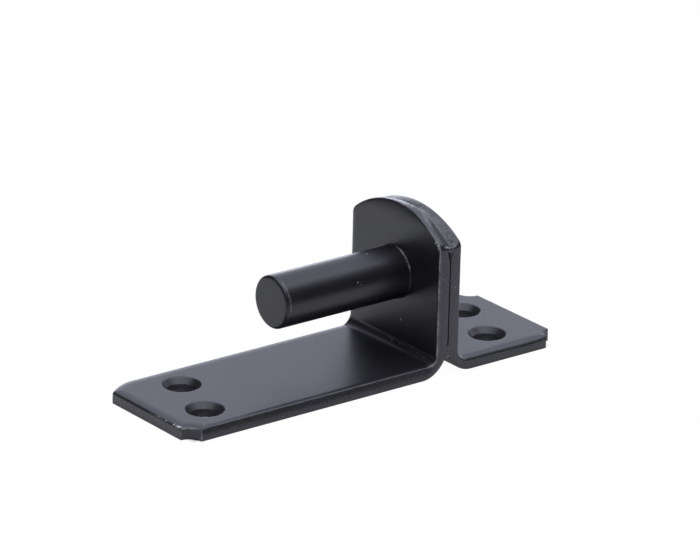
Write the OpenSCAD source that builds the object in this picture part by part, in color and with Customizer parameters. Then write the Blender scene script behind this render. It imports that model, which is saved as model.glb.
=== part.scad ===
// Hinge pin on a doubled plate, for hanging a strap hinge.
// Two bent steel plates stand back to back, a round pin is riveted through both uprights,
// and weld beads close the seam between the plates.
// Z = 0 is the mounting plane under the legs, and +Z points away from it. X runs along the legs,
// with the pin pointing towards -X, and the origin is in the middle of the footprint.

/* [Plates] */
// Width of both plates, across the legs
plate_w = 42; // [36:0.5:60]
// Thickness of both plates
plate_t = 4; // [3:0.25:5]
// Gap left between the two uprights
seam_gap = 0.25; // [0.1:0.05:0.6]
// Length of the long leg, from the back of its upright to its free end
long_leg_l = 93.5; // [80:0.5:140]
// Length of the short leg, from the back of its upright to its free end
short_leg_l = 42; // [38:0.5:80]
// Radius on the inside of each bend
bend_r = 4; // [2.5:0.25:6]
// How much more than a plate's thickness the outside of a bend gains in radius
bend_stretch = 1; // [0:0.25:2]
// Radius of the hollow cut out of each free corner
corner_r = 4.2; // [2:0.1:6]

/* [Uprights] */
// Height at which the straight sides of the uprights would meet the arch
shoulder_z = 40.5; // [38:0.5:60]
// Rise of the arch above the shoulders, on the plate that carries the pin
long_rise = 7.9; // [7:0.1:16]
// How much less the arch rises on the plate behind it
rise_step = 0.8; // [0.2:0.1:1.5]
// Radius that rounds each shoulder into the arch
shoulder_r = 3; // [1:0.25:5]

/* [Screw holes] */
// Diameter of the four screw holes
hole_d = 8.4; // [5:0.1:10]
// Diameter of each countersink at the top of the leg
sink_d = 11.8; // [10.5:0.1:13]
// Full angle of the countersinks
sink_angle = 90; // [80:1:120]
// Distance of each row of holes from the middle of the plate
hole_row = 9.5; // [7:0.25:11]
// How far the two holes of a leg are staggered along it
hole_stagger = 5.6; // [0:0.1:10]
// Distance from the long leg's end to its outer hole
long_hole_end = 13.7; // [10:0.1:30]
// Distance from the short leg's end to its outer hole
short_hole_end = 12.3; // [10:0.1:14]

/* [Pin] */
// Diameter of the pin
pin_d = 16; // [13:0.5:20]
// Length of the pin in front of the plate
pin_l = 45.5; // [30:0.5:60]
// Height of the pin's axis above the mounting plane
pin_z = 27; // [24:0.5:29]
// Radius round the rim of the pin's free end
pin_edge_r = 0.9; // [0.25:0.05:2]
// Diameter of the spigot that goes through both plates
spigot_d = 12; // [8:0.5:12.5]
// Clearance all round the spigot in its holes
spigot_play = 0.05; // [0.02:0.01:0.2]
// Diameter of the riveted head behind the plates
rivet_d = 17; // [14:0.5:20]
// Height of the riveted head
rivet_h = 2.2; // [1:0.1:3.5]

/* [Welds] */
// Width of the bevel along each arch, where a bead lies
groove_w = 2.6; // [1.5:0.1:2.8]
// Depth of that bevel at the seam
groove_h = 1.2; // [0.8:0.1:2]
// How far below the arch the edges of a bead lie
bead_lip = 0.12; // [0.05:0.01:0.3]
// How hollow a bead's surface is, from 0 for flat to 1 for as deep as the bevels allow
bead_hollow = 0.7; // [0.4:0.05:0.9]
// How deep a bead reaches into the seam below the bevel
bead_root = 0.5; // [0.3:0.1:3]
// Distance from the middle of the arch to the start of the bead on the -Y side
right_bead_from = 3; // [1:0.5:14]
// Distance from the middle of the arch to the start of the bead on the +Y side
left_bead_from = 9; // [1:0.5:14]
// Height of the foot bead's lowest line above the mounting plane
foot_z = 5.5; // [3:0.1:6.6]
// How far the foot bead bulges below the line where it meets the bends
foot_bulge = 0.3; // [0.1:0.05:0.6]

/* [Hidden] */
$fn = 180;
steel_black = [0.13, 0.13, 0.14];
weld_black = [0.17, 0.17, 0.18];
over = 1; // how far a cutter passes the surface that it leaves
half_w = plate_w / 2;
short_rise = long_rise - rise_step;
bend_out_r = bend_r + plate_t + bend_stretch;
// Places along X, measured from the face that the pin stands on
back_x = 2 * plate_t + seam_gap; // back of the rear upright, where the rivet head sits
short_x = plate_t + seam_gap; // face of the rear upright at the seam
face_x = (long_leg_l - plate_t - short_x - short_leg_l) / 2; // that face, seen from the origin
sink_h = (sink_d - hole_d) / 2 / tan(sink_angle / 2);
pin_r = pin_d / 2;
spigot_r = spigot_d / 2;
rivet_r = rivet_d / 2;

// Radius of the arch that rises so far between the sides
function arch_r(rise) = (half_w * half_w + rise * rise) / (2 * rise);
// Height of that arch's centre
function arch_z(rise) = shoulder_z + rise - arch_r(rise);

// Side view of an angle plate: the upright's outer face on x = 0, the leg along -x
module bent_profile(leg_l, top) {
  difference() {
    union() {
      translate([-leg_l, 0]) square([leg_l, plate_t]);
      translate([-plate_t, 0]) square([plate_t, top]);
      difference() {
        translate([-plate_t - bend_r, plate_t]) square(bend_r);
        translate([-plate_t - bend_r, plate_t + bend_r]) circle(bend_r);
      }
    }
    difference() {
      translate([-bend_out_r, -over]) square([bend_out_r + over, bend_out_r + over]);
      translate([-bend_out_r, bend_out_r]) circle(bend_out_r);
    }
  }
}

// Front view of an upright: straight sides, rounded shoulders and an arch, all drawn in by inset
module arch_outline(rise, inset = 0) {
  r = arch_r(rise);
  z = arch_z(rise);
  side_y = half_w - inset;
  round_y = half_w - shoulder_r; // centre of the shoulder's rounding
  round_z = z + sqrt(pow(r - shoulder_r, 2) - round_y * round_y);
  reach = r / (r - shoulder_r); // from the arch's centre, through the rounding's, to the arch
  difference() {
    intersection() {
      union() {
        translate([0, z]) circle(r - inset);
        translate([-side_y, 0]) square([2 * side_y, round_z]);
      }
      translate([-side_y, 0]) square([2 * side_y, shoulder_z + rise + over]);
    }
    for (side = [-1, 1]) difference() {
      polygon([
        [side * round_y, round_z],
        [side * round_y * reach, z + (round_z - z) * reach],
        [side * (half_w + over), shoulder_z + rise],
        [side * (half_w + over), round_z],
      ]);
      translate([side * round_y, round_z]) circle(shoulder_r - inset);
    }
  }
}

// One screw hole with its countersink, from the mounting plane up
module screw_hole() {
  translate([0, 0, -over]) cylinder(h = plate_t + 2 * over, d = hole_d);
  translate([0, 0, plate_t - sink_h]) cylinder(h = sink_h, d1 = hole_d, d2 = sink_d);
  translate([0, 0, plate_t]) cylinder(h = over, d = sink_d);
}

// An angle plate with its arch, hollow corners, screw holes and spigot hole.
// outer_side is the side, -1 or 1, whose hole lies nearer the leg's end.
module angle_plate(leg_l, rise, hole_end, outer_side) {
  top = shoulder_z + rise;
  difference() {
    intersection() {
      rotate([90, 0, 0]) linear_extrude(plate_w, center = true) bent_profile(leg_l, top);
      union() {
        translate([-leg_l, -half_w, 0]) cube([leg_l, plate_w, shoulder_z / 2]);
        translate([-plate_t - over, 0, 0])
          rotate([90, 0, 90]) linear_extrude(plate_t + 2 * over) arch_outline(rise);
      }
    }
    for (side = [-1, 1]) {
      translate([-leg_l, side * half_w, -over]) cylinder(h = plate_t + 2 * over, r = corner_r);
      step = side == outer_side ? 0 : hole_stagger;
      translate([-leg_l + hole_end + step, side * hole_row, 0]) screw_hole();
    }
    translate([-plate_t - over, 0, pin_z])
      rotate([0, 90, 0]) cylinder(h = plate_t + 2 * over, r = spigot_r + spigot_play);
  }
}

// Turns an outline of (radius, x) about the centre of an arch, from one distance off its middle
// to past the side of the plate
module sweep_arch(rise, side, from) {
  r = arch_r(rise);
  start = asin(from / r);
  stop = asin(half_w / r) + asin(shoulder_r / r);
  translate([0, 0, arch_z(rise)]) rotate([90, 0, 90])
    rotate([0, 0, side > 0 ? 90 - stop : 90 + start]) rotate_extrude(angle = stop - start) children();
}

// Cutter for the bevel along an arch, on the side of the plate that faces the seam at seam_x.
// way is the direction, along X, in which the bevel leaves the seam.
module arch_groove(rise, seam_x, way) {
  r = arch_r(rise);
  slope = groove_h / groove_w;
  seam_mid = seam_x - way * seam_gap / 2;
  for (run = [[-1, right_bead_from], [1, left_bead_from]]) sweep_arch(rise, run[0], run[1]) polygon([
    [r - groove_h - slope * seam_gap / 2, seam_mid],
    [r + over, seam_x + way * (groove_w + over / slope)],
    [r + over, seam_mid],
  ]);
}

// Front plate: the long leg and the upright that the pin stands on
module long_plate_solid() {
  difference() {
    translate([plate_t, 0, 0]) angle_plate(long_leg_l, long_rise, long_hole_end, -1);
    arch_groove(long_rise, plate_t, -1);
  }
}

// Rear plate: the short leg and the upright behind the first
module short_plate_solid() {
  difference() {
    translate([short_x, 0, 0]) mirror([1, 0, 0])
      angle_plate(short_leg_l, short_rise, short_hole_end, 1);
    arch_groove(short_rise, short_x, 1);
  }
}

// Pin with its spigot and riveted head, one turned piece
module hinge_pin_solid() {
  dome_r = (rivet_r * rivet_r + rivet_h * rivet_h) / (2 * rivet_h);
  translate([0, 0, pin_z]) rotate([0, -90, 0]) rotate_extrude() {
    square([pin_r, pin_l - pin_edge_r]);
    translate([0, pin_l - 2 * pin_edge_r]) square([pin_r - pin_edge_r, 2 * pin_edge_r]);
    intersection() {
      translate([pin_r - pin_edge_r, pin_l - pin_edge_r]) circle(pin_edge_r);
      translate([pin_r - pin_edge_r, pin_l - pin_edge_r]) square(pin_edge_r);
    }
    translate([0, -back_x]) square([spigot_r, back_x]);
    intersection() {
      translate([0, dome_r - back_x - rivet_h]) circle(dome_r);
      translate([0, -back_x - rivet_h]) square([rivet_r, rivet_h]);
    }
  }
}

// Bead in the bevels along one shoulder of the arch, with a hollow surface. It starts a little way
// back in the seam, and reaches down the side of the uprights.
module arch_weld(side, from) {
  r = arch_r(long_rise);
  toe = groove_w * (1 - bead_lip / groove_h); // from the seam to where the bead meets a bevel
  mouth = 2 * toe + seam_gap;
  tilt = atan(rise_step / 2 / mouth); // the rear arch lies half of its step lower on average
  slope_l = mouth / cos(tilt);
  spare = atan(groove_h / groove_w) - tilt; // angle between the bevel and a flat bead
  sag = slope_l / 2 * tan(bead_hollow * spare / 2);
  hollow_r = (slope_l * slope_l / 4 + sag * sag) / (2 * sag);
  root = groove_h + rise_step + bead_root;
  difference() {
    intersection() {
      sweep_arch(long_rise, side, from - bead_root) difference() {
        translate([r - root, plate_t - groove_w]) square([root, groove_w + seam_gap + toe]);
        translate([r - bead_lip, plate_t - toe]) rotate([0, 0, tilt])
          translate([hollow_r - sag, slope_l / 2]) circle(hollow_r);
      }
      translate([-over, 0, 0]) rotate([90, 0, 90]) linear_extrude(back_x + 2 * over)
        arch_outline(long_rise, bead_lip / 2);
    }
    long_plate_solid();
    short_plate_solid();
  }
}

// Bead along the notch between the two bends, under the uprights
module foot_weld_solid() {
  // Half the notch's width where the bead meets the bends
  meet_z = foot_z + foot_bulge;
  meet_w = bend_out_r - sqrt(pow(bend_out_r, 2) - pow(bend_out_r - meet_z, 2)) + seam_gap / 2;
  belly_r = (meet_w * meet_w + foot_bulge * foot_bulge) / (2 * foot_bulge);
  difference() {
    translate([plate_t + seam_gap / 2, 0, 0])
      rotate([90, 0, 0]) linear_extrude(plate_w, center = true) {
        translate([-meet_w, meet_z]) square([2 * meet_w, bend_out_r + bead_root - meet_z]);
        intersection() {
          translate([0, foot_z + belly_r]) circle(belly_r);
          translate([-meet_w, foot_z]) square([2 * meet_w, foot_bulge]);
        }
      }
    long_plate_solid();
    short_plate_solid();
  }
}

// Moves a piece from the frame of the pin's face into the part's frame
module placed() { translate([face_x, 0, 0]) children(); }

module long_plate() { color(steel_black) placed() long_plate_solid(); }
module short_plate() { color(steel_black) placed() short_plate_solid(); }
module hinge_pin() { color(steel_black) placed() hinge_pin_solid(); }
module right_arch_weld() { color(weld_black) placed() arch_weld(-1, right_bead_from); }
module left_arch_weld() { color(weld_black) placed() arch_weld(1, left_bead_from); }
module foot_weld() { color(weld_black) placed() foot_weld_solid(); }

long_plate();
short_plate();
hinge_pin();
right_arch_weld();
left_arch_weld();
foot_weld();
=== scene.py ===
import bpy
import math
from collections import Counter
from mathutils import Matrix, Vector, noise


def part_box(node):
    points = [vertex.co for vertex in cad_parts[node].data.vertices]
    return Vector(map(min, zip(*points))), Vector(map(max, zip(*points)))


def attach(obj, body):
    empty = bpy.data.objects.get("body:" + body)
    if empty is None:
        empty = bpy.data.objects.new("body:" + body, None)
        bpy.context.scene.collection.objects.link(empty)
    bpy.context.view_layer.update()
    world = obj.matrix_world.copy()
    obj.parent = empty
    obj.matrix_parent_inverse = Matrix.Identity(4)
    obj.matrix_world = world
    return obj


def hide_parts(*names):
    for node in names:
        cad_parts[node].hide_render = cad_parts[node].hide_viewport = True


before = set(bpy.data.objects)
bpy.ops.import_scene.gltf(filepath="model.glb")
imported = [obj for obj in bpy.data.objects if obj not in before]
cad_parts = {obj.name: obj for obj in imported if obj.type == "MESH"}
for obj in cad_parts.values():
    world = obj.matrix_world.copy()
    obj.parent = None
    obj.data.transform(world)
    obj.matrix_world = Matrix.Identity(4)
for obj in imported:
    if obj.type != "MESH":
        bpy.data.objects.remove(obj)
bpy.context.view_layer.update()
print("frame loaded")

# where the part's own faces lie, in metres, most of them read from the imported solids
sheet = 0.004                                # thickness of both plates
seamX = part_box("long_plate")[1].x            # back of the front upright
faceX = seamX - sheet                        # face that the pin stands on
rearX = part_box("short_plate")[0].x           # face of the rear upright, across the seam
backX = rearX + sheet                        # back of the rear upright
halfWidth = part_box("long_plate")[1].y
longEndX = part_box("long_plate")[0].x
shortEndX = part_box("short_plate")[1].x
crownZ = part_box("long_plate")[1].z
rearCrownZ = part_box("short_plate")[1].z
legTopZ = sheet
shoulderZ = 0.0405
shoulderRound = 0.003
pinAxisZ = 0.027
holeCentres = [(longEndX + 0.0137, -0.0095), (longEndX + 0.0193, 0.0095),
               (shortEndX - 0.0179, -0.0095), (shortEndX - 0.0123, 0.0095)]


def deselectAll():
    if bpy.context.object and bpy.context.object.mode != "OBJECT":
        bpy.ops.object.mode_set(mode="OBJECT")
    bpy.ops.object.select_all(action="DESELECT")


def makeActive(piece):
    deselectAll()
    piece.select_set(True)
    bpy.context.view_layer.objects.active = piece


# a new piece from one of the add operators
def newPiece(name, operator, **settings):
    deselectAll()
    operator(**settings)
    bpy.context.object.name = name
    return bpy.context.object


# all faces point outward, after points closer than the given distance are merged
def faceOutward(piece, merge=0.0):
    makeActive(piece)
    bpy.ops.object.mode_set(mode="EDIT")
    bpy.ops.mesh.select_all(action="SELECT")
    if merge:
        bpy.ops.mesh.remove_doubles(threshold=merge)
    bpy.ops.mesh.normals_make_consistent(inside=False)
    bpy.ops.object.mode_set(mode="OBJECT")


def applyModifier(piece, modifier):
    makeActive(piece)
    bpy.ops.object.modifier_apply(modifier=modifier.name)


# smooth shading that leaves the large flat faces flat
def softenShading(piece, angle):
    makeActive(piece)
    bpy.ops.object.shade_smooth_by_angle(angle=math.radians(angle))
    weighted = piece.modifiers.new("flatFaces", "WEIGHTED_NORMAL")
    weighted.mode = "FACE_AREA"
    weighted.keep_sharp = True
    applyModifier(piece, weighted)


# camera, at the photograph's angle
cameraSet = {"azimuth": -38.310, "elevation": 21.039, "roll": 1.477, "distance": 1.557632,
             "lens": 272.95, "aim": (0.006625, 0.0, 0.015), "slide": (0.000878, -0.011571)}


def placeCamera():
    s = cameraSet
    turn, lift, roll = (math.radians(s[k]) for k in ("azimuth", "elevation", "roll"))
    back = Vector((math.sin(turn) * math.cos(lift), -math.cos(turn) * math.cos(lift), math.sin(lift)))
    level = Vector((math.cos(turn), math.sin(turn), 0))
    upright = back.cross(level)
    right = level * math.cos(roll) + upright * math.sin(roll)
    up = upright * math.cos(roll) - level * math.sin(roll)
    place = Vector(s["aim"]) - right * s["slide"][0] - up * s["slide"][1] + back * s["distance"]
    cameraData = bpy.data.cameras.new("photoCamera")
    cameraData.sensor_width = 36
    cameraData.lens = s["lens"]
    cameraData.clip_start, cameraData.clip_end = 0.05, 50
    camera = bpy.data.objects.new("photoCamera", cameraData)
    bpy.context.scene.collection.objects.link(camera)
    camera.matrix_world = Matrix.Translation(place) @ Matrix((right, up, back)).transposed().to_4x4()
    bpy.context.scene.camera = camera


placeCamera()
print("camera placed")


# a turned skin: one vertex is extruded along the profile of (along, radius), then spun about the axis
def turnedSkin(name, profile, steps, centre, axis):
    axis = Vector(axis)
    outward = Vector((0, 0, 1)) if abs(axis.z) < 0.5 else Vector((0, 1, 0))
    places = [Vector(centre) + axis * along + outward * radius for along, radius in profile]
    piece = newPiece(name, bpy.ops.mesh.primitive_plane_add, size=0.001, location=places[0])
    bpy.ops.object.transform_apply(location=True, rotation=True, scale=True)
    bpy.ops.object.mode_set(mode="EDIT")
    bpy.ops.mesh.select_mode(type="VERT")
    bpy.ops.mesh.select_all(action="SELECT")
    bpy.ops.mesh.merge(type="CENTER")
    for here, there in zip(places, places[1:]):
        bpy.ops.mesh.extrude_region_move(TRANSFORM_OT_translate={"value": there - here})
    bpy.ops.mesh.select_all(action="SELECT")
    bpy.ops.mesh.spin(steps=steps, angle=math.tau, center=centre, axis=axis)
    faceOutward(piece, merge=2e-6)
    return piece


# rings stacked up one by one, to be shaped afterwards
def stackedRings(name, count, rows):
    piece = newPiece(name, bpy.ops.mesh.primitive_circle_add, vertices=count, radius=1, fill_type="NOTHING",
                     location=(0, 0, 0))
    bpy.ops.object.mode_set(mode="EDIT")
    bpy.ops.mesh.select_all(action="SELECT")
    for row in range(rows):
        bpy.ops.mesh.extrude_region_move(TRANSFORM_OT_translate={"value": (0, 0, 1)})
    bpy.ops.object.mode_set(mode="OBJECT")
    return piece


# the place of a vertex in the stacked rings: (spot round the ring, row)
def spotAndRow(vertex, count):
    turn = math.atan2(vertex.co.y, vertex.co.x) / math.tau
    return round(turn * count) % count, round(vertex.co.z)


# runs a mesh operator on the edges whose two vertices pass the test
def onEdges(piece, test, operator, **settings):
    makeActive(piece)
    bpy.ops.object.mode_set(mode="EDIT")
    bpy.ops.mesh.select_mode(type="EDGE")
    bpy.ops.mesh.select_all(action="DESELECT")
    bpy.ops.object.mode_set(mode="OBJECT")
    for edge in piece.data.edges:
        edge.select = bool(test(*edge.vertices))
    bpy.ops.object.mode_set(mode="EDIT")
    operator(**settings)
    bpy.ops.object.mode_set(mode="OBJECT")


def arcPoints(along, radius, bend, start, stop, count):
    angles = [math.radians(start + (stop - start) * i / count) for i in range(count + 1)]
    return [(along + bend * math.cos(a), radius + bend * math.sin(a)) for a in angles]


# point on the curve that leaves start toward corner and comes in to stop
def onCurve(start, corner, stop, f):
    return tuple(p * (1 - f) ** 2 + q * 2 * f * (1 - f) + r * f * f for p, q, r in zip(start, corner, stop))


# a soft corner between two straight or slightly curved runs
def easedCorner(start, corner, stop, count):
    return [onCurve(start, corner, stop, i / count) for i in range(count + 1)]


def smoothStep(low, high, value):
    t = min(1.0, max(0.0, (value - low) / (high - low)))
    return t * t * (3 - 2 * t)


def mixed(a, b, f):
    return a + (b - a) * f


# a place on a circle in the upright's plane, at an angle from straight up
def onCircle(y, z, radius, angle):
    return y + radius * math.sin(angle), z + radius * math.cos(angle)


# radius and centre height of an arched top, and the angle where its shoulder rounding takes over
def archOf(topZ):
    rise = topZ - shoulderZ
    radius = (halfWidth ** 2 + rise ** 2) / (2 * rise)
    centreZ = topZ - radius
    roundY = halfWidth - shoulderRound
    roundZ = centreZ + math.sqrt((radius - shoulderRound) ** 2 - roundY ** 2)
    return {"radius": radius, "centreZ": centreZ, "roundY": roundY, "roundZ": roundZ,
            "turn": math.atan2(roundY, roundZ - centreZ)}


# the two bent plates
plateSet = {"thick": sheet,
            # soft edges on the face that was up in the press: a slope's width and depth, a round's radius
            "roll": (0.0026, 0.00030, 0.00085), "legSideRoll": (0.0018, 0.00018, 0.00055),
            "shortSideRoll": (0.0020, 0.00038, 0.00150), "shortBendRoll": (0.0016, 0.00020, 0.00125),
            "archRoll": (0.0046, 0.00058, 0.00055), "crispRoll": (0.0006, 0.00004, 0.00040),
            "farRoll": (0.0018, 0.00022, 0.00070), "rearRoll": (0.0010, 0.00009, 0.00050),
            "roundRows": 8, "slopeRows": 5, "flatRow": 0.0003,
            "lowerEdge": 0.00016, "leastWall": 0.0004,  # small edge on the other face, and least wall over it
            # where a cut side stands out most, and how strongly it is curved
            "endCrown": (0.0012, 12.0), "legSideCrown": (0.0005, 155.0), "sideCrown": (0.0012, 35.0),
            "archCrown": (0.0029, 110.0), "crownTop": (0.0041, 76.0),
            "innerBend": 0.0028, "outerBend": 0.009, "bulge": 0.00020,
            "hollow": 0.0042, "cornerEase": 0.00030,
            "sideStop": 0.014,                          # out along the leg, where its straight side ends
            # the far corner of the long leg is clipped, not hollow: a curve from the end to the far side,
            # as (from the end, from the side), and its pace at both ends; then how far along the curve and
            # along the end it meets the end, for each unit that it is moved inward
            "clip": ((0.0, 0.0042), (0.0046, 0.0006), (0.0086, 0.0)), "clipPace": (0.0117, 0.0081),
            "clipMeet": (0.487, 0.488),
            "sink": 0.0059, "bore": 0.0042, "sinkDeep": 0.0017, "sinkEase": 0.00028, "boreEase": 0.00007,
            "boreStep": 0.0001, "boreLip": 0.00040, "lipTop": 0.0010, "lipStep": 0.00004, "wallFade": 0.0003,
            "pinHole": 0.00605,
            # grooves under the arch beads: (width, depth) front and rear, and on each side how far from the
            # middle they begin; then how fast they deepen, and the heights where they end on the cut sides
            "grooves": {-1: (0.0026, 0.0012), 1: (0.0031, 0.0020)}, "grooveStart": {-1: 0.0030, 1: 0.0090},
            "grooveRunIn": 0.0006, "grooveLow": 0.0385, "grooveFade": (0.0386, 0.0396), "sideSkin": 0.0005,
            "grooveClear": 0.0002,                      # wall left over a groove
            "archSteps": 44, "shoulderSteps": 12, "bendSteps": 22, "sideSteps": 8, "cornerSteps": 4,
            "hollowSteps": 20, "wallRows": 4,
            "nearCorner": (0.004, 0.016),               # two more stations keep the corner's shading short
            # how much the coat is rubbed and how much painted highlight lies with it: along the soft edge, at
            # each kind of station, and painted glints down two corners
            "wearAndSheen": {"end": 0.20, "hollow": 0.4, "legSide": 0.12, "upSide": 1.0, "shoulder": 1.0},
            "otherWearAndSheen": 0.2, "farWearAndSheen": 0.03, "cornerGlint": {"endCorner": 0.5, "sideCorner": 1.0}}


# the stations round one half of a plate, from the middle of the leg's end to the top of the arch
def halfOutline():
    s = plateSet
    corner, side = s["cornerSteps"], s["sideSteps"]
    run = lambda kind, count, first=1: [(kind, i / count) for i in range(first, count + 1)]
    walk = run("end", 3, 0) + run("endCorner", corner) + run("hollow", s["hollowSteps"])[:-1]
    walk += run("sideCorner", corner, 0) + [("legSide", f) for f in s["nearCorner"]] + run("legSide", side)
    walk += run("bend", s["bendSteps"], 0) + run("upSide", side)
    return walk + run("shoulder", s["shoulderSteps"]) + run("arch", s["archSteps"])


# (from the end, from the side) on the clipped corner's curve moved inward by the inset
def clipPlace(u, inset):
    x, y = onCurve(*plateSet["clip"], u)
    run, fall = ((q - p) * (1 - u) + (r - q) * u for p, q, r in zip(*plateSet["clip"]))
    size = math.hypot(run, fall)
    return x - fall / size * inset, y + run / size * inset


def clippedCorner(kind, f, inset, legLength):
    s = plateSet
    ease, (startPace, stopPace), (alongCurve, alongEnd) = s["cornerEase"], s["clipPace"], s["clipMeet"]
    meet = s["clip"][0][1] + alongEnd * inset
    first, last = (alongCurve * inset + ease) / startPace, 1 - ease / stopPace
    if kind == "end":
        return inset, mixed(halfWidth, meet + ease, f)
    if kind == "endCorner":
        return onCurve((inset, meet + ease), (inset, meet), clipPlace(first, inset), f)
    if kind == "hollow":
        return clipPlace(mixed(first, last, f), inset)
    x = clipPlace(1, inset)[0]
    if kind == "sideCorner":
        return onCurve(clipPlace(last, inset), (x, inset), (x + ease, inset), f)
    return mixed(x + ease, legLength - s["sideStop"], f), inset


# the same on a hollow corner
def hollowCorner(kind, f, inset, legLength):
    s = plateSet
    r, ease = s["hollow"] + inset, s["cornerEase"]
    reach = math.sqrt(r * r - inset * inset)
    first = math.asin(inset / r) + ease / r
    onArc = lambda angle: (r * math.sin(angle), r * math.cos(angle))
    if kind == "end":
        return inset, mixed(halfWidth, reach + ease, f)
    if kind == "endCorner":
        return onCurve((inset, reach + ease), (inset, reach), onArc(first), f)
    if kind == "hollow":
        return onArc(mixed(first, math.pi / 2 - first, f))
    if kind == "sideCorner":
        return onCurve(onArc(math.pi / 2 - first), (reach, inset), (reach + ease, inset), f)
    return mixed(reach + ease, legLength - s["sideStop"], f), inset


# place on the plate for a station, an inset and a height in the sheet, as (out along the leg, out from
# the middle, up)
def sheetPlace(station, inset, height, legLength, arch, clipped):
    s = plateSet
    kind, f = station
    if kind in ("end", "endCorner", "hollow", "sideCorner", "legSide"):
        corner = clippedCorner if clipped else hollowCorner
        fromEnd, fromSide = corner(kind, f, inset, legLength)
        return legLength - fromEnd, halfWidth - fromSide, height
    share = height / s["thick"]
    if kind == "bend":
        turn = math.radians(90 * f)
        inner, outer = s["thick"] + s["innerBend"], s["outerBend"]
        away = lambda swing: mixed(outer - s["outerBend"] * swing, inner - s["innerBend"] * swing, share)
        swell = math.sin(math.pi * f) ** 2 * s["bulge"] * (1.6 * share - 0.6)
        return away(math.sin(turn)), halfWidth - inset + swell, away(math.cos(turn))
    if kind == "upSide":
        low = mixed(s["outerBend"], s["thick"] + s["innerBend"], share)
        return height, halfWidth - inset, mixed(low, arch["roundZ"], f)
    if kind == "shoulder":
        angle = mixed(math.pi / 2, arch["turn"], f)
        return height, *onCircle(arch["roundY"], arch["roundZ"], shoulderRound - inset, angle)
    return height, *onCircle(0.0, arch["centreZ"], arch["radius"] - inset, arch["turn"] * (1 - f))


# rows from the lower face over the edge to the upper face: (inset, height, how much of a cut side it is)
def edgeRows(grooved, roll, crown, groove):
    s = plateSet
    grooveWide, grooveHigh = groove
    wide, deep, easing = roll
    rows = []
    for i in range(4):
        a = math.radians(30 * i)
        inset = mixed(s["lowerEdge"] * (1 - math.sin(a)), grooveHigh * (1 - i / 3), grooved)
        height = mixed(s["lowerEdge"] * (1 - math.cos(a)), grooveWide * i / 3, grooved)
        rows.append((inset, height, min(1, 0.5 * i)))
    tilt = math.atan(2 * deep / wide)
    low = rows[-1][1]
    lowest = mixed(s["leastWall"], grooveWide + s["grooveClear"], grooved)
    top = max(s["thick"] - deep - easing * math.cos(tilt), lowest)
    tall = (s["thick"] - deep - top) / math.cos(tilt)       # squeezed where a groove leaves less room
    for i in range(1, s["wallRows"]):
        rows.append((0.0, mixed(low, top, i / s["wallRows"]), 1.0))
    for i in range(s["roundRows"]):
        turn = mixed(math.pi / 2, tilt, i / (s["roundRows"] - 1))
        rows.append((easing * (1 - math.sin(turn)), top + tall * math.cos(turn), 1 - smoothStep(0, 5, i)))
    start = rows[-1][0]
    for i in range(1, s["slopeRows"] + 1):
        f = i / s["slopeRows"]
        rows.append((start + wide * f, s["thick"] - deep * (1 - f) ** 2, 0.0))
    rows.append((start + wide + s["flatRow"], s["thick"], 0.0))
    lean = lambda height: (1 - grooved) * 0.5 * crown[1] * (min(height, top) - crown[0]) ** 2
    return [(inset + lean(height) * (1 - smoothStep(0, start + wide, inset)), height, share)
            for inset, height, share in rows]


# how far the soft edge reaches and how the cut side is crowned, at a station
def edgeShape(station, side, way):
    s = plateSet
    kind, f = station
    between = lambda a, b, share: tuple(mixed(p, q, share) for p, q in zip(s[a], s[b]))
    onArch = 1.0 if kind == "arch" else f if kind == "shoulder" else 0.0
    crown = between("sideCrown", "archCrown", onArch)
    if kind in ("end", "endCorner"):
        crown = s["endCrown"]
    elif kind == "hollow":
        crown = between("endCrown", "sideCrown", f)
    if way > 0:
        if kind == "sideCorner":
            return between("crispRoll", "shortBendRoll", f) if side < 0 else s["crispRoll"], crown
        if kind == "legSide" and side > 0:
            return between("crispRoll", "shortBendRoll", f), crown
        if kind == "legSide":
            share = smoothStep(0, 0.35, f) * (1 - smoothStep(0.35, 1, f))
            return between("shortBendRoll", "shortSideRoll", share), crown
        if kind == "bend":
            return between("shortBendRoll", "rearRoll", f), crown
        return s["rearRoll"] if kind in ("upSide", "shoulder", "arch") else s["crispRoll"], crown
    if side > 0:
        if kind == "arch":
            crown = between("archCrown", "crownTop", smoothStep(0.3, 0.8, f))
            return between("farRoll", "archRoll", smoothStep(0.2, 1, f)), crown
        if kind == "bend":
            return between("roll", "farRoll", f), crown
        return s["farRoll"] if kind in ("upSide", "shoulder") else s["roll"], crown
    if kind in ("sideCorner", "legSide"):
        share = min(1.0, 2.2 * f) if kind == "sideCorner" else 1
        return between("roll", "legSideRoll", share), between("sideCrown", "legSideCrown", share)
    if kind == "bend":
        share = smoothStep(0, 0.9, f)
        return between("legSideRoll", "crispRoll", share), between("legSideCrown", "sideCrown", share)
    if kind == "arch":
        crown = between("archCrown", "crownTop", smoothStep(0.5, 0.8, f))
        return between("crispRoll", "archRoll", smoothStep(0.25, 0.75, f)), crown
    return s["crispRoll"] if kind in ("upSide", "shoulder") else s["roll"], crown


# rubbed coat with painted highlight at a station, and painted glint: (along the soft edge, down the cut side)
def edgeWearAndSheen(station, side, way):
    s = plateSet
    kind, f = station
    # a painted glint down the cut side where each corner meets the end and the side
    glintDown = s["cornerGlint"].get(kind, 0.0) * max(0.0, 1 - abs(f - 0.5) / 0.6)
    # only the near sides carry the painted highlight; the far sides keep a trace
    if way > 0 or side > 0:
        return s["farWearAndSheen"], glintDown
    along = s["wearAndSheen"].get(kind, s["otherWearAndSheen"])
    if kind == "bend":
        along = mixed(s["wearAndSheen"]["legSide"], s["wearAndSheen"]["upSide"], smoothStep(0.1, 0.4, f))
    if kind == "arch":
        along = mixed(s["wearAndSheen"]["shoulder"], s["otherWearAndSheen"], smoothStep(0, 0.4, f))
    return along, glintDown


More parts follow.
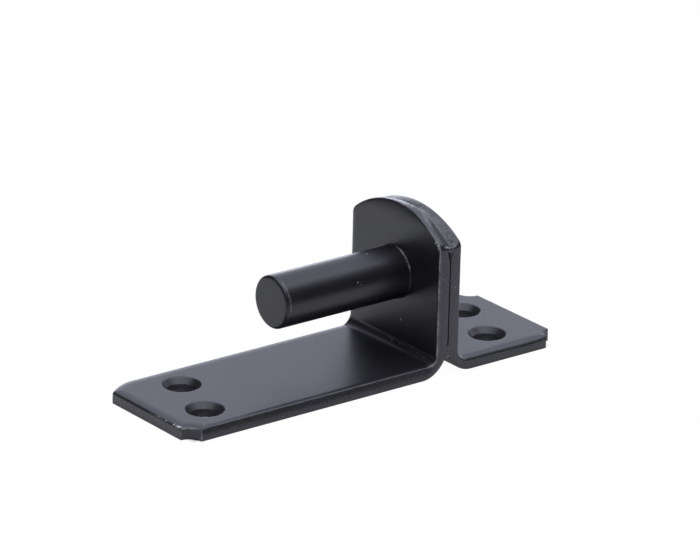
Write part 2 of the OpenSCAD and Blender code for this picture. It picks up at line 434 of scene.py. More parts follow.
def grooveShare(place, side):
    s = plateSet
    fromMiddle, up = place[1:]
    start = s["grooveStart"][side]
    if up < s["grooveLow"] or fromMiddle < start:
        return 0.0
    if fromMiddle > halfWidth - s["sideSkin"]:
        return smoothStep(*s["grooveFade"], up)
    return smoothStep(start, start + s["grooveRunIn"], fromMiddle)


# the profile of a countersunk screw hole, from its rim down to its lower lip
def sinkProfile():
    s = plateSet
    sink, bore, deep, thick = s["sink"], s["bore"], s["sinkDeep"], s["thick"]
    slant, lip = 0.7 * s["sinkEase"], bore - s["boreLip"]
    points = easedCorner((0.0, sink + s["sinkEase"]), (0.0, sink), (-slant, sink - slant), 5)
    points += easedCorner((s["boreEase"] - deep, bore + s["boreEase"]), (-deep, bore),
                          (-deep - s["boreStep"], bore), 3)
    points += easedCorner((s["lipTop"] - thick, bore), (s["boreLip"] - thick, lip),
                          (-thick, lip + s["lipStep"]), 5)
    return points


def makePlate(name, way, flatX, legLength, topZ):
    s = plateSet
    arch = archOf(topZ)
    half = halfOutline()
    ring = [(station, 1) for station in half] + [(station, -1) for station in reversed(half[1:-1])]
    groove = s["grooves"][way]
    rowCount = len(edgeRows(0, s["roll"], s["sideCrown"], groove))
    plate = stackedRings(name, len(ring), rowCount - 1)
    mesh = plate.data
    cut = mesh.attributes.new("cutSide", "FLOAT", "POINT")
    wearAndSheenShare = mesh.attributes.new("edgeWearAndSheen", "FLOAT", "POINT")
    mesh.attributes.new("boreWall", "FLOAT", "POINT")
    where = {spotAndRow(vertex, len(ring)): vertex.index for vertex in mesh.vertices}
    roundStart = 3 + s["wallRows"]
    brightestRow = roundStart + 3                         # the middle of the round shows the most wear and painted highlight
    for spot, (station, side) in enumerate(ring):
        clipped = way < 0 and side > 0
        bare = sheetPlace(station, 0, 0, legLength, arch, clipped)
        along, glintDown = edgeWearAndSheen(station, side, way)
        roll, crown = edgeShape(station, side, way)
        for row, (inset, height, share) in enumerate(edgeRows(grooveShare(bare, side), roll, crown, groove)):
            out, fromMiddle, up = sheetPlace(station, inset, height, legLength, arch, clipped)
            vertex = mesh.vertices[where[spot, row]]
            vertex.co = Vector((flatX + way * out, side * fromMiddle, up))
            cut.data[vertex.index].value = share
            onRound = min(1.0, 1.5 * along * max(0.0, 1 - abs(row - brightestRow) / 3.5))
            wearAndSheenShare.data[vertex.index].value = glintDown if row < roundStart else onRound

    # each face round the bend spans the width; then the leg and the upright are filled round their holes
    bends = [spot for spot, (station, side) in enumerate(ring) if station[0] == "bend" and side > 0]
    partner = {spot: (len(ring) - spot) % len(ring) for spot in bends}
    for row in (0, rowCount - 1):
        chosen = {where[spot, row] for spot in bends} | {where[partner[spot], row] for spot in bends}
        onEdges(plate, lambda i, j: i in chosen and j in chosen, bpy.ops.mesh.bridge_edge_loops)
    holes = []
    for x, y in holeCentres:
        if (x - flatX) * way > 0:
            holes.append(turnedSkin(name + "Hole", sinkProfile(), 96, (x, y, legTopZ), (0, 0, 1)))
    boreProfile = [(0.0, s["pinHole"]), (way * s["thick"], s["pinHole"])]
    holes.append(turnedSkin(name + "Hole", boreProfile, 64, (flatX, 0, pinAxisZ), (1, 0, 0)))
    boreTop = s["thick"] - s["sinkDeep"]
    for hole in holes:
        wall = hole.data.attributes.new("boreWall", "FLOAT", "POINT")
        for vertex in hole.data.vertices:
            wall.data[vertex.index].value = 1 - smoothStep(boreTop - s["wallFade"], boreTop, vertex.co.z)
    makeActive(plate)
    for hole in holes:
        hole.select_set(True)
    bpy.ops.object.join()
    outerEnd, innerEnd = s["outerBend"] - 1e-5, s["thick"] + s["innerBend"] - 1e-5
    faceTests = [lambda p: abs(p.z) < 1e-6 and (p.x - flatX) * way > outerEnd,
                 lambda p: abs(p.z - legTopZ) < 1e-6 and (p.x - flatX) * way > innerEnd,
                 lambda p: abs(p.x - flatX) < 1e-6 and p.z > outerEnd,
                 lambda p: abs(p.x - flatX - way * s["thick"]) < 1e-6 and p.z > innerEnd]
    for test in faceTests:
        faces = Counter(key for face in plate.data.polygons for key in face.edge_keys)
        points = plate.data.vertices
        onFace = lambda i, j: test(points[i].co) and test(points[j].co)
        onEdges(plate, lambda i, j: faces[min(i, j), max(i, j)] == 1 and onFace(i, j),
                bpy.ops.mesh.fill, use_beauty=True)
    faceOutward(plate, merge=1e-6)
    softenShading(plate, 35)
    return plate


plates = {"long_plate": makePlate("longPlatePainted", -1, seamX, seamX - longEndX, crownZ),
          "short_plate": makePlate("shortPlatePainted", 1, rearX, shortEndX - rearX, rearCrownZ)}
for nodeName, plate in plates.items():
    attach(plate, "root")
    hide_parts(nodeName)
    print("plate made:", plate.name, len(plate.data.polygons), "faces")


# the pin, turned as one piece
pinSet = {"length": 0.0455, "radius": 0.008, "rimRound": 0.0009, "faceRings": (0.0, 0.003, 0.006),
          "rimBandRings": (0.00002, 0.00030, 0.00050, 0.00085),     # behind the rim
          "bodyStart": 0.012, "bodyRings": (0.02, 0.006, 0.0012),  # from the free end, and from the upright
          "rootBead": 0.00017, "spigot": 0.006, "headRadius": 0.0085, "headHeight": 0.0022, "turns": 144,
          # out of sight: how far the body and the head reach into the plates, the head's edge (along, out)
          "seat": 0.0003, "spigotFrom": 0.0004, "headSeat": 0.0001, "headEdge": (0.00012, 0.00006),
          # painted highlight on the coat, partly rubbed, behind the rim, and a painted glint at the root: the
          # way they face (along y, along z), where they start, and their strength
          "rimWearAndSheen": ((-0.85, 0.53), 0.66, 0.62), "rootGlint": ((-0.62, 0.78), 0.80, 1.0)}


def makePin():
    s = pinSet
    radius, rim, bead = s["radius"], s["rimRound"], s["rootBead"]
    head, high, seat, inner = s["headRadius"], s["headHeight"], s["seat"], s["spigotFrom"]
    dome = (head ** 2 + high ** 2) / (2 * high)
    domeX = backX + high - dome
    reach = math.degrees(math.asin(head / dome))
    freeX = faceX - s["length"]
    rings = [freeX + rim + along for along in s["rimBandRings"]]
    profile = [(freeX, ring) for ring in s["faceRings"]]
    profile += arcPoints(freeX + rim, radius - rim, rim, 180, 90, 7)
    body = [freeX + s["bodyStart"]] + [faceX - away for away in s["bodyRings"]] + [faceX - 3.2 * bead]
    profile += [(along, radius) for along in rings + body]
    profile += arcPoints(faceX - bead, radius + 0.15 * bead, 1.5 * bead, 180, 40, 6)
    profile += [(faceX + seat, radius + 1.1 * bead), (faceX + inner, s["spigot"]),
                (backX - inner, s["spigot"]), (backX - seat, head + s["headSeat"]),
                (backX + s["headEdge"][0], head + s["headEdge"][1])]
    profile += arcPoints(domeX, 0.0, dome, reach, 0, 9)
    pin = turnedSkin("pinPainted", profile, s["turns"], (0, 0, pinAxisZ), (1, 0, 0))
    wearAndSheenShare = pin.data.attributes.new("edgeWearAndSheen", "FLOAT", "POINT")     # where the coat is thin behind the rim, with painted highlight, and a painted glint round the root
    places = {"rimWearAndSheen": (rings[1] - 1e-5, rings[2] + 1e-5), "rootGlint": (faceX - 3.0 * bead, faceX + 0.0002)}
    # only the side that faces up and to the front, where the light falls, is marked
    for vertex in pin.data.vertices:
        x, y, z = vertex.co
        for wearAndSheen, (near, far) in places.items():
            (sideways, upward), edge, strength = s[wearAndSheen]
            if near < x < far:
                facing = (sideways * y + upward * (z - pinAxisZ)) / radius
                wearAndSheenShare.data[vertex.index].value = strength * smoothStep(edge, 1.0, facing)
    softenShading(pin, 40)
    return pin


pin = makePin()
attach(pin, "root")
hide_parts("hinge_pin")
print("pin made:", len(pin.data.polygons), "faces")


# the weld beads
weldSet = {"thickness": 0.0009, "rows": 120, "columns": 40,
           "starts": {-1: 0.0025, 1: 0.0085},          # where each arch bead begins, out from the middle
           "seamEndZ": 0.0384, "grooveWidth": 0.0026, "rearWidth": 0.0031, "overlap": 0.00022,
           # on the cut side the bead narrows between two heights, past an angle, down to a last half width
           "narrowing": (0.0396, 0.0385), "narrowAngle": 1.3, "narrowReach": 0.00045,
           # step between the two crowns: half its width at the start and what that grows by, over a distance
           "step": (0.0001, 0.0016, 0.006),
           # dip at the start: strength, half width, and the distances between which it ends
           "dip": (45, 0.0037), "dipEnd": (0.0002, 0.0045),
           # valley: depth, middle, slopes front and rear, where it opens in from the side, where it closes
           "valley": 0.00165, "valleyX": 0.0007, "valleySlopes": (0.0036, 0.0025),
           "valleyOpens": (0.0135, 0.0050), "valleyCloses": (0.85, 1.5), "farValley": 0.6,
           "ripple": 0.00010, "rippleSize": 900, "lift": 0.00003, "edgeSink": 0.00012,
           # bead in the notch between the bends
           "footPoints": 24, "footRows": 90, "footZ": 0.0053, "footTop": 0.0094, "footBelly": 0.0003,
           "footEnd": 0.0006, "footEndLift": 0.0002, "footWave": (0.00022, 420), "footGrain": (0.00007, 1500),
           "footTuck": 0.00005, "footLedge": 0.00002}
middleX = (seamX + rearX) / 2
halfSeam = (rearX - seamX) / 2


# point and outward angle at a distance along the outline of the front upright, from the middle of its arch
def outlineAt(distance):
    arch = archOf(crownZ)
    radius, turn, centreY, centreZ = arch["radius"], arch["turn"], arch["roundY"], arch["roundZ"]
    onTop, onRound = turn * radius, (math.pi / 2 - turn) * shoulderRound
    if distance < onTop:
        return *onCircle(0.0, arch["centreZ"], radius, distance / radius), distance / radius
    if distance - onTop < onRound:
        angle = turn + (distance - onTop) / shoulderRound
        return *onCircle(centreY, centreZ, shoulderRound, angle), angle
    return halfWidth, centreZ - (distance - onTop - onRound), math.pi / 2


def outlineLength(toZ):
    distance = 0.0
    while outlineAt(distance)[1] > toZ:
        distance += 0.0001
    return distance


# how far the rear upright's edge lies below the front one's at that place
def rearDrop(y, z, angle):
    arch = archOf(rearCrownZ)
    down = 0.0
    while math.hypot(*onCircle(y, z - arch["centreZ"], -down, angle)) > arch["radius"] and down < 0.0009:
        down += 0.00001
    return down * (1 - smoothStep(0.8, 1.2, angle))


def makeArchBead(name, side, valley):
    s = weldSet
    piece = newPiece(name, bpy.ops.mesh.primitive_grid_add, x_subdivisions=s["columns"],
                     y_subdivisions=s["rows"], size=2)
    radius, startY = archOf(crownZ)["radius"], s["starts"][side]
    first = radius * math.asin(startY / radius)
    last = outlineLength(s["seamEndZ"])
    leastStep, moreStep, stepRun = s["step"]
    for vertex in piece.data.vertices:
        along, across = (vertex.co.y + 1) / 2, vertex.co.x
        distance = first + (last - first) * along
        y, z, angle = outlineAt(distance)
        narrow = smoothStep(*s["narrowing"], z) if angle > s["narrowAngle"] else 0.0
        covered = s["grooveWidth"] if across < 0 else s["rearWidth"]
        reach = (covered + s["overlap"] + halfSeam) * (1 - narrow) + s["narrowReach"] * narrow
        dx = across * reach
        spread = leastStep + moreStep * smoothStep(startY, startY + stepRun, y)
        level = -rearDrop(y, z, angle) * smoothStep(-spread, spread, dx)
        dipped = 1 - smoothStep(startY + s["dipEnd"][0], startY + s["dipEnd"][1], y)
        level -= s["dip"][0] * max(0.0, s["dip"][1] - abs(dx)) ** 2 * dipped
        edge = smoothStep(0.9, 1.0, abs(across))
        opening = smoothStep(*(halfWidth - away for away in s["valleyOpens"]), y)
        opening *= 1 - smoothStep(*s["valleyCloses"], angle)
        beside = dx - s["valleyX"]
        cut = valley * opening * max(0.0, 1 - abs(beside) / s["valleySlopes"][0 if beside < 0 else 1])
        place = Vector((dx * s["rippleSize"], distance * s["rippleSize"], side * 3))
        bump = noise.noise(place) + 0.6 * noise.noise(place * 2.7)
        bump *= s["ripple"] * (1 - edge) * (1 - 0.7 * narrow)
        height = level - cut + bump + s["lift"] - s["edgeSink"] * edge
        y, z = onCircle(y, z, height, angle)
        vertex.co = Vector((middleX + dx, side * y, z))
    faceOutward(piece)
    upward = sum(face.normal.z * face.area for face in piece.data.polygons)
    wall = piece.modifiers.new("wall", "SOLIDIFY")
    wall.thickness = s["thickness"]
    wall.offset = -1 if upward > 0 else 1
    applyModifier(piece, wall)
    faceOutward(piece)
    bpy.ops.object.shade_smooth_by_angle(angle=math.radians(50))
    return piece


# half the gap between the two outer bends at a height
def bendGap(z):
    bend = plateSet["outerBend"]
    return halfSeam + bend - math.sqrt(bend ** 2 - (bend - z) ** 2)


def makeFootBead():
    s = weldSet
    count, tuck = s["footPoints"], s["footTuck"]
    (waveDeep, waveSize), (grainDeep, grainSize) = s["footWave"], s["footGrain"]
    piece = stackedRings("footBead", count, s["footRows"])
    for vertex in piece.data.vertices:
        spot, row = spotAndRow(vertex, count)
        y = (halfWidth + s["footLedge"]) * (2 * row / s["footRows"] - 1)
        atEnd = smoothStep(halfWidth - s["footEnd"], halfWidth, abs(y))
        low = s["footZ"] + waveDeep * noise.noise(Vector((0, y * waveSize, 3))) + s["footEndLift"] * atEnd
        edge = low + s["footBelly"]
        if spot <= 8:                    # below, then up one bend, over the top and down the other
            across = spot / 4 - 1
            x = across * (bendGap(edge) + tuck)
            grain = grainDeep * noise.noise(Vector((x * grainSize, y * grainSize, 7)))
            z = edge - (edge - low - grain) * (1 - across ** 2)
        elif spot <= 14:
            z = mixed(edge, s["footTop"], (spot - 8) / 6)
            x = bendGap(min(z, plateSet["outerBend"])) + tuck
        elif spot <= 17:
            z = s["footTop"]
            x = (halfSeam + tuck) * (1 - 2 * (spot - 14) / 4)
        else:
            z = mixed(s["footTop"], edge, (spot - 18) / 6)
            x = -bendGap(min(z, plateSet["outerBend"])) - tuck
        vertex.co = Vector((middleX + x, y, z))
    points = piece.data.vertices
    for end in (-1, 1):
        beyond = lambda i: points[i].co.y * end > halfWidth
        onEdges(piece, lambda i, j: beyond(i) and beyond(j), bpy.ops.mesh.fill)
    faceOutward(piece)
    bpy.ops.object.shade_smooth_by_angle(angle=math.radians(40))
    return piece


beads = {"right_arch_weld": makeArchBead("rightArchBead", -1, weldSet["valley"]),
         "left_arch_weld": makeArchBead("leftArchBead", 1, weldSet["valley"] * weldSet["farValley"]),
         "foot_weld": makeFootBead()}
for nodeName, bead in beads.items():
    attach(bead, "root")
    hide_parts(nodeName)
print("beads made")


# finishes
nodeSpacing = 220                            # from one node to the next, in the node editor


# a socket gets a plain value, or a link from another node's output
def feed(tree, socket, value):
    if isinstance(value, bpy.types.NodeSocket):
        tree.links.new(value, socket)
    else:
        socket.default_value = value


# a node to the right of the ones before it, with its sockets and settings by name, _ for a space
def addNode(tree, kind, **settings):
    node = tree.nodes.new(kind)
    node.location.x = nodeSpacing * len(tree.nodes)
    for key, value in settings.items():
        socketName = key.replace("_", " ")
        if socketName in node.inputs:
            feed(tree, node.inputs[socketName], value)
        else:
            setattr(node, key, value)
    return node


# a maths node with its feeds in order
def addMath(tree, operation, *feeds, kind="ShaderNodeMath", gives=0, **settings):
    node = addNode(tree, kind, operation=operation, **settings)
    for socket, value in zip(node.inputs, feeds):
        feed(tree, socket, value)
    return node.outputs[gives]


def addVectorMath(tree, operation, *feeds, **settings):
    gives = "Value" if operation in ("DOT_PRODUCT", "DISTANCE") else "Vector"
    return addMath(tree, operation, *feeds, kind="ShaderNodeVectorMath", gives=gives, **settings)


def addRange(tree, edges, source, kind="SMOOTHSTEP", **settings):
    node = addNode(tree, "ShaderNodeMapRange", interpolation_type=kind, Value=source,
                   From_Min=edges[0], From_Max=edges[1], **settings)
    return node.outputs["Result"]


# a blend of two colours, or of two plain values
def addBlend(tree, share, first, second, kind="RGBA"):
    node = addNode(tree, "ShaderNodeMix", data_type=kind)
    firstSocket, secondSocket, result = {"RGBA": (6, 7, 2), "FLOAT": (2, 3, 0)}[kind]
    feed(tree, node.inputs[0], share)
    feed(tree, node.inputs[firstSocket], first)
    feed(tree, node.inputs[secondSocket], second)
    return node.outputs[result]


def addNoise(tree, where, scale, **settings):
    return addNode(tree, "ShaderNodeTexNoise", Vector=where, Scale=scale, **settings).outputs


def addPlace(tree):
    return addNode(tree, "ShaderNodeTexCoord").outputs["Object"]


def addAttribute(tree, name):
    return addNode(tree, "ShaderNodeAttribute", attribute_name=name).outputs["Fac"]


# a group that takes and gives single values
def newGroup(name, takes, gives):
    tree = bpy.data.node_groups.new(name, "ShaderNodeTree")
    for socketName, value in takes.items():
        socket = tree.interface.new_socket(socketName, in_out="INPUT", socket_type="NodeSocketFloat")
        socket.default_value = value
    for socketName in gives:
        tree.interface.new_socket(socketName, in_out="OUTPUT", socket_type="NodeSocketFloat")
    start = addNode(tree, "NodeGroupInput")
    end = addNode(tree, "NodeGroupOutput")
    return tree, start.outputs, end.inputs


def newMaterial(name):
    material = bpy.data.materials.new(name)
    material.use_nodes = True
    material.node_tree.nodes.clear()
    return material, material.node_tree


# sizes of the shared effects: slow drift, dust, ragged chips and painted glints, and how a rubbed edge with
# painted highlight breaks up
effectSet = {"driftSize": 75.0, "dustCell": 260.0, "dustDot": 0.06, "ragSize": 2600.0, "rag": 0.0009,
             "rubAndSheenSize": 420.0, "rubAndSheenSpread": (0.28, 0.58)}


# the coat itself: soft orange peel, fine grain and a slow drift of shade and gloss
def makePaintFilm():
    tree, start, end = newGroup("paintFilm", {"Peel Size": 700.0, "Grain Size": 5200.0, "Peel Share": 0.7},
                                ["Height", "Drift"])
    where = addPlace(tree)
    peel = addNoise(tree, where, start["Peel Size"], Detail=2.0, Roughness=0.5)
    grain = addNoise(tree, where, start["Grain Size"], Detail=3.0, Roughness=0.65)
    drift = addNoise(tree, where, effectSet["driftSize"], Detail=3.0, Roughness=0.55)
    height = addBlend(tree, start["Peel Share"], grain["Fac"], peel["Fac"], "FLOAT")
    feed(tree, end["Height"], height)
    feed(tree, end["Drift"], drift["Fac"])
    return tree


# sparse specks of pale dust, as round dots with their own sizes
def makeDustSpecks():
    tree, start, end = newGroup("dustSpecks", {"Cell Size": effectSet["dustCell"], "Share": 0.05,
                                               "Dot": effectSet["dustDot"]}, ["Mask"])
    where = addPlace(tree)
    cells = addNode(tree, "ShaderNodeTexVoronoi", Vector=where, Scale=start["Cell Size"],
                    Randomness=1.0).outputs
    split = addNode(tree, "ShaderNodeSeparateColor", Color=cells["Color"]).outputs
    chosen = addMath(tree, "LESS_THAN", split["Red"], start["Share"])
    size = addMath(tree, "MULTIPLY", split["Green"], start["Dot"])
    dot = addMath(tree, "LESS_THAN", cells["Distance"], size)
    feed(tree, end["Mask"], addMath(tree, "MULTIPLY", dot, chosen))
    return tree


# chips in the coat and painted glints, at their own places, with ragged outlines: (x, y, z, radius) in
# millimetres
chipAndGlintPlaces = [
    (-67.5, -12.8, 3.5, 0.30), (-67.45, -13.9, 3.5, 0.26), (-67.5, -14.9, 3.5, 0.50),
    (-67.2, -15.7, 3.6, 0.36), (-67.5, -9.2, 3.5, 0.22), (-67.5, -5.6, 3.5, 0.18),
    (-55.4, -10.9, 2.3, 0.22), (-51.9, -14.6, 3.95, 0.30), (10.6, -0.9, 34.95, 0.26),
    (2.2, -7.4, 29.9, 0.18), (3.0, -7.7, 29.2, 0.13), (3.4, -7.3, 29.9, 0.10), (21.6, -3.9, 12.8, 0.24),
    (21.6, -3.4, 13.5, 0.14), (21.7, -18.8, 41.6, 0.34), (21.7, -19.3, 42.4, 0.30),
    (21.7, -19.9, 41.0, 0.34), (21.7, -20.3, 40.2, 0.28), (21.7, 11.5, 46.7, 0.45),
    (21.9, 9.4, 47.3, 0.30), (67.6, -16.85, 2.8, 0.26), (67.55, -16.85, 2.0, 0.22),
    (67.6, -16.85, 1.3, 0.22), (25.2, -21.0, 6.3, 0.16), (26.3, -21.0, 5.6, 0.20),
    (25.7, -21.0, 6.9, 0.13), (25.6, -21.0, 5.5, 0.17), (26.8, -21.0, 4.9, 0.12),
    (23.4, -21.0, 30.5, 0.16), (27.9, -21.0, 27.0, 0.14), (21.3, 1.1, 5.5, 0.15),
    (21.3, -0.3, 5.5, 0.17), (20.3, -2.6, 4.4, 0.11), (21.3, -4.0, 5.6, 0.20), (21.6, -5.1, 7.0, 0.13),
    (21.2, 5.4, 5.4, 0.12), (15.0, 7.0, 4.0, 0.13), (4.3, 15.9, 4.0, 0.14), (1.8, 14.1, 4.0, 0.11),
    (21.3, -12.6, 5.5, 0.13), (21.0, -15.8, 5.1, 0.16), (21.6, -9.9, 6.2, 0.12)]


def makeChipsAndGlints():
    tree, start, end = newGroup("chipsAndGlints", {"Rag": effectSet["rag"]}, ["Mask"])
    where = addPlace(tree)
    rough = addNoise(tree, where, effectSet["ragSize"], Detail=2.0)
    centred = addVectorMath(tree, "SUBTRACT", rough["Color"], (0.5, 0.5, 0.5))
    moved = addVectorMath(tree, "SCALE", centred, Scale=start["Rag"])
    ragged = addVectorMath(tree, "ADD", where, moved)
    mask = None
    for x, y, z, radius in chipAndGlintPlaces:
        far = addVectorMath(tree, "DISTANCE", ragged, (x / 1000, y / 1000, z / 1000))
        spotMask = addMath(tree, "LESS_THAN", far, radius / 1000)
        mask = addMath(tree, "MAXIMUM", mask, spotMask) if mask else spotMask
    feed(tree, end["Mask"], mask)
    return tree


# rubbed edges: a broken line where the coat is thin, carrying painted highlight and painted glints
def makeRubbedEdgeAndSheen():
    tree, start, end = newGroup("rubbedEdgeAndSheen", {"Break": effectSet["rubAndSheenSize"]}, ["Mask"])
    where = addPlace(tree)
    patch = addNoise(tree, where, start["Break"], Detail=3.0, Roughness=0.6)
    broken = addRange(tree, effectSet["rubAndSheenSpread"], patch["Fac"], "LINEAR")
    wearAndSheenShare = addAttribute(tree, "edgeWearAndSheen")
    feed(tree, end["Mask"], addMath(tree, "MULTIPLY", broken, wearAndSheenShare))
    return tree


paintFilm = makePaintFilm()
dustSpecks = makeDustSpecks()
chipsAndGlints = makeChipsAndGlints()
rubbedEdgeAndSheen = makeRubbedEdgeAndSheen()

# black coats: what they share unless a part has its own value, then the plates, the pin and the beads
# the rubbed shade is partly a painted highlight, and the chip shade also paints glints
coatSet = {"dustShade": (0.22, 0.22, 0.24, 1), "rubbedAndSheenShade": (0.21, 0.21, 0.215, 1),
           "chipAndGlintShade": (0.42, 0.42, 0.43, 1), "tint": (0.92, 0.92, 1.0, 1),
           "ior": 1.55, "peelShare": 0.72, "boreDull": 0.16, "reliefDeep": 0.0003,
           "tearSize": 1700.0, "tearStretch": (1.0, 1.0, 0.45),
           "depth": 0.06, "cutDepth": 0.0, "cutGloss": 0.0,
           "plate": {"shine": 0.53, "dark": (0.0060, 0.0060, 0.0080, 1), "pale": (0.0100, 0.0100, 0.0130, 1),
                     "gloss": (0.34, 0.42), "peel": 650.0, "grain": 5000.0, "dust": 0.050,
                     "cutDepth": 0.60, "cutGloss": -0.08},
           "pin": {"shine": 0.43, "dark": (0.0045, 0.0045, 0.0060, 1), "pale": (0.0080, 0.0080, 0.0105, 1),
                   "gloss": (0.30, 0.38), "peel": 800.0, "grain": 5600.0, "dust": 0.020},
           "weld": {"shine": 0.62, "dark": (0.0080, 0.0080, 0.0100, 1), "pale": (0.0180, 0.0180, 0.0210, 1),
                    "gloss": (0.22, 0.36), "peel": 900.0, "grain": 4200.0, "dust": 0.110, "depth": 0.32}}


def makeCoat(name, part):
    s = coatSet | coatSet[part]
    coat, tree = newMaterial(name)
    group = lambda effect, **values: addNode(tree, "ShaderNodeGroup", node_tree=effect, **values).outputs
    film = group(paintFilm, Peel_Size=s["peel"], Grain_Size=s["grain"], Peel_Share=s["peelShare"])
    dust = group(dustSpecks, Share=s["dust"])
    rubAndSheen = group(rubbedEdgeAndSheen)
    chipAndGlint = group(chipsAndGlints)
    shade = addBlend(tree, film["Drift"], s["dark"], s["pale"])
    shade = addBlend(tree, dust["Mask"], shade, s["dustShade"])
    # rubbed edges lighten with painted highlight as well as thin coat
    shade = addBlend(tree, rubAndSheen["Mask"], shade, s["rubbedAndSheenShade"])
    # chips and painted glints in pale grey
    shade = addBlend(tree, chipAndGlint["Mask"], shade, s["chipAndGlintShade"])
    cut = addAttribute(tree, "cutSide")
    bore = addAttribute(tree, "boreWall")
    low, high = s["gloss"]
    rough = addRange(tree, (0.0, 1.0), film["Drift"], "LINEAR", To_Min=low, To_Max=high)
    rough = addMath(tree, "MULTIPLY_ADD", cut, s["cutGloss"], rough)
    rough = addMath(tree, "MULTIPLY_ADD", bore, s["boreDull"], rough, use_clamp=True)
    # cut sides carry a coarser, streaky relief under the same coat
    stretch = addNode(tree, "ShaderNodeMapping", Vector=addPlace(tree), Scale=s["tearStretch"])
    tear = addNoise(tree, stretch.outputs["Vector"], s["tearSize"], Detail=4.0, Roughness=0.6)
    tearCut = addMath(tree, "MULTIPLY", tear["Fac"], cut)
    filmDeep = addMath(tree, "MULTIPLY", film["Height"], s["depth"])
    deep = addMath(tree, "MULTIPLY_ADD", tearCut, s["cutDepth"], filmDeep)
    relief = addNode(tree, "ShaderNodeBump", Strength=1.0, Distance=s["reliefDeep"], Height=deep)
    shader = addNode(tree, "ShaderNodeBsdfPrincipled", Base_Color=shade, Roughness=rough,
                     IOR=s["ior"], Specular_IOR_Level=s["shine"], Specular_Tint=s["tint"],
                     Normal=relief.outputs["Normal"])
    addNode(tree, "ShaderNodeOutputMaterial", Surface=shader.outputs["BSDF"])
    return coat


pieces = plates | {"hinge_pin": pin} | beads
coats = dict.fromkeys(plates, makeCoat("blackCoatPlate", "plate"))
coats["hinge_pin"] = makeCoat("blackCoatPin", "pin")
coats |= dict.fromkeys(beads, makeCoat("blackCoatWeld", "weld"))
for nodeName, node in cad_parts.items():
    pieces[nodeName].data.materials.append(coats[nodeName])
    node.data.materials.clear()
    node.data.materials.append(coats[nodeName])
print("finishes made")


# studio
studioSet = {"floorSize": 0.8, "floorZ": -0.00004, "floor": 0.80,
             "showThrough": 0.97, "mirrored": 0.3,       # white that the camera and glossy surfaces see
             # edges of the dark paper: past the legs' ends, past their sides, and in from the screw holes
             "underLegs": (0.0640, 0.0670), "underSides": (0.0190, 0.0205), "pastBends": (0.040, 0.042),
             "bright": (1.14, 1.18, 1.38, 1), "dark": (0.07, 0.07, 0.08, 1), "horizon": (0.26, 0.58),
             "skyFrom": (0.62, 0.35, 0.70), "skyEdge": (0.58, 0.85),
             "sweepFrom": (0.66, 0.74, 0.12), "sweepEdge": (0.90, 0.965),
             "sweepLow": (0.22, 0.02), "sweepGlow": 1.9, "lampTint": (0.94, 0.96, 1.0),
             "softboxes": {"sideSoftbox": ((1.28, 0.24, 0.92), (0.75, 0.75), 2.6),      # (place, size, power)
                           "topSoftbox": ((-0.09, -0.12, 1.50), (2.3, 1.1), 20.0),
                           "frontSoftbox": ((-0.53, -0.86, 1.18), (0.9, 0.7), 4.8)}}


# two shaders mixed by a share, into the tree's own output
def showMixed(tree, share, first, second, output):
    mix = addNode(tree, "ShaderNodeMixShader")
    for socket, value in zip(mix.inputs, (share, first, second)):
        feed(tree, socket, value)
    addNode(tree, output, Surface=mix.outputs[0])


def makePaper():
    s = studioSet
    floor = newPiece("studioFloor", bpy.ops.mesh.primitive_plane_add, size=s["floorSize"],
                     location=(0, 0, s["floorZ"]))
    paper, tree = newMaterial("palePaper")
    rays = addNode(tree, "ShaderNodeLightPath").outputs
    mirrored = addMath(tree, "MULTIPLY", rays["Is Glossy Ray"], s["mirrored"])
    seen = addMath(tree, "MULTIPLY", rays["Is Camera Ray"], s["showThrough"])
    share = addMath(tree, "MAXIMUM", seen, mirrored)
    # the paper under the screw holes gets no light
    spot = addNode(tree, "ShaderNodeSeparateXYZ", Vector=addPlace(tree)).outputs
    alongLegs = addMath(tree, "ABSOLUTE", spot["X"])
    acrossLegs = addMath(tree, "ABSOLUTE", spot["Y"])
    pastEnds = addRange(tree, s["underLegs"], alongLegs)
    pastSides = addRange(tree, s["underSides"], acrossLegs)
    between = addRange(tree, s["pastBends"], alongLegs, To_Min=1.0, To_Max=0.0)
    outside = addMath(tree, "MAXIMUM", pastEnds, pastSides)
    clear = addMath(tree, "MAXIMUM", outside, between)
    share = addMath(tree, "MULTIPLY", share, clear)
    matte = addNode(tree, "ShaderNodeBsdfDiffuse", Color=(s["floor"],) * 3 + (1,))
    white = addNode(tree, "ShaderNodeEmission", Strength=1.0)
    showMixed(tree, share, matte.outputs[0], white.outputs[0], "ShaderNodeOutputMaterial")
    floor.data.materials.append(paper)


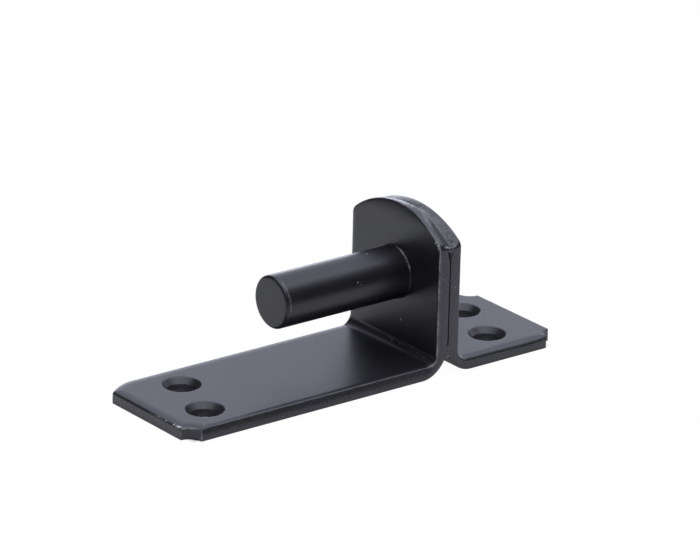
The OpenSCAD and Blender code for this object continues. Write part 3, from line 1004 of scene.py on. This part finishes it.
# the air is pale above and behind on one side, and dim elsewhere, as in a room with one large soft window
def makeAir():
    s = studioSet
    world = bpy.data.worlds.new("studioAir")
    bpy.context.scene.world = world
    world.use_nodes = True
    air = world.node_tree
    air.nodes.clear()
    where = addNode(air, "ShaderNodeTexCoord").outputs["Generated"]
    height = addNode(air, "ShaderNodeSeparateXYZ", Vector=where).outputs["Z"]
    toward = addVectorMath(air, "DOT_PRODUCT", where, Vector(s["skyFrom"]).normalized())
    share = addMath(air, "MULTIPLY", addRange(air, s["skyEdge"], toward),
                    addRange(air, s["horizon"], height))
    # the paper sweep behind the object stays bright down to the horizon
    behind = addVectorMath(air, "DOT_PRODUCT", where, Vector(s["sweepFrom"]).normalized())
    sweep = addRange(air, s["sweepEdge"], behind)
    widest = addMath(air, "MAXIMUM", share, sweep)
    tone = addBlend(air, widest, s["dark"], s["bright"])
    # the lowest part of the sweep is nearest to its lamp
    low = addRange(air, s["sweepLow"], height, To_Max=s["sweepGlow"])
    glow = addMath(air, "MULTIPLY_ADD", low, sweep, 1.0)
    tone = addVectorMath(air, "SCALE", tone, Scale=glow)
    light = addNode(air, "ShaderNodeBackground", Strength=1.0, Color=tone)
    backdrop = addNode(air, "ShaderNodeBackground", Strength=1.0, Color=(1, 1, 1, 1))
    rays = addNode(air, "ShaderNodeLightPath").outputs
    showMixed(air, rays["Is Camera Ray"], light.outputs[0], backdrop.outputs[0], "ShaderNodeOutputWorld")


def placeSoftboxes():
    for name, (place, size, power) in studioSet["softboxes"].items():
        softbox = bpy.data.lights.new(name, "AREA")
        softbox.shape = "RECTANGLE"
        softbox.size, softbox.size_y = size
        softbox.energy = power
        softbox.color = studioSet["lampTint"]
        lamp = bpy.data.objects.new(name, softbox)
        bpy.context.scene.collection.objects.link(lamp)
        lamp.location = place
        lamp.rotation_euler = (-Vector(place)).to_track_quat("-Z", "Y").to_euler()


makePaper()
makeAir()
placeSoftboxes()
bpy.context.scene.view_settings.view_transform = "Standard"
print("studio made")
